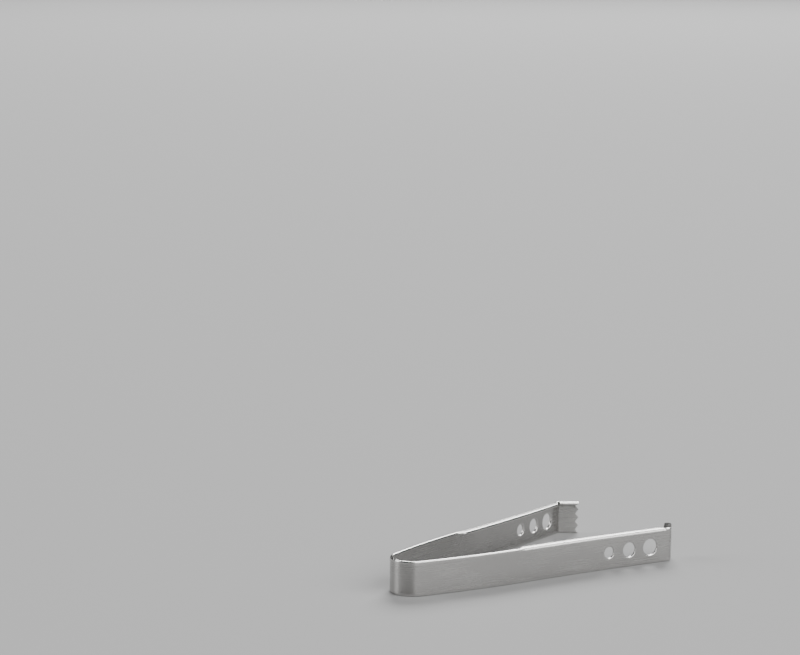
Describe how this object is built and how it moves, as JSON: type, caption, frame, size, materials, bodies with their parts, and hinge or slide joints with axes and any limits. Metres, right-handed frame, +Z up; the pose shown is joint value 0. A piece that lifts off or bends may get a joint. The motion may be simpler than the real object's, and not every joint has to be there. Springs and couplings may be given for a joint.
{
  "type": "ice tongs",
  "caption": "One-piece sprung ice tongs: a steel strip bent into a bow, lipped front arms with drain holes, and inward-folded toothed jaws.",
  "frame": {"origin": "under the middle of the tongs, level with the strip's lower edge, which it stands on", "axes": "+X from the bow to the jaws, +Y to the left arm, +Z up across the strip's width"},
  "size_m": [0.1764, 0.0876, 0.019],
  "materials": {
    "brushed_stainless": "satin, brushed along the strip"
  },
  "bodies": {
    "bow": {"spring_bow": "brushed_stainless"},
    "left_arm": {"left_arm": "brushed_stainless", "left_jaw": "brushed_stainless"},
    "right_arm": {"right_arm": "brushed_stainless", "right_jaw": "brushed_stainless"}
  },
  "joints": [
    {"name": "left_flex", "type": "hinge", "parent": "bow", "child": "left_arm", "pos_m": [-0.06611, 0.01464, 0], "axis": [0, 0, -1], "range_deg": [-3, 12.1], "stiffness_Nm_per_rad": 6},
    {"name": "right_flex", "type": "hinge", "parent": "bow", "child": "right_arm", "pos_m": [-0.06611, -0.01464, 0], "axis": [0, 0, 1], "range_deg": [-3, 12.1], "stiffness_Nm_per_rad": 6}
  ],
  "couplings": [
    {"joint": "right_flex", "follows": "left_flex", "ratio": 1}
  ]
}
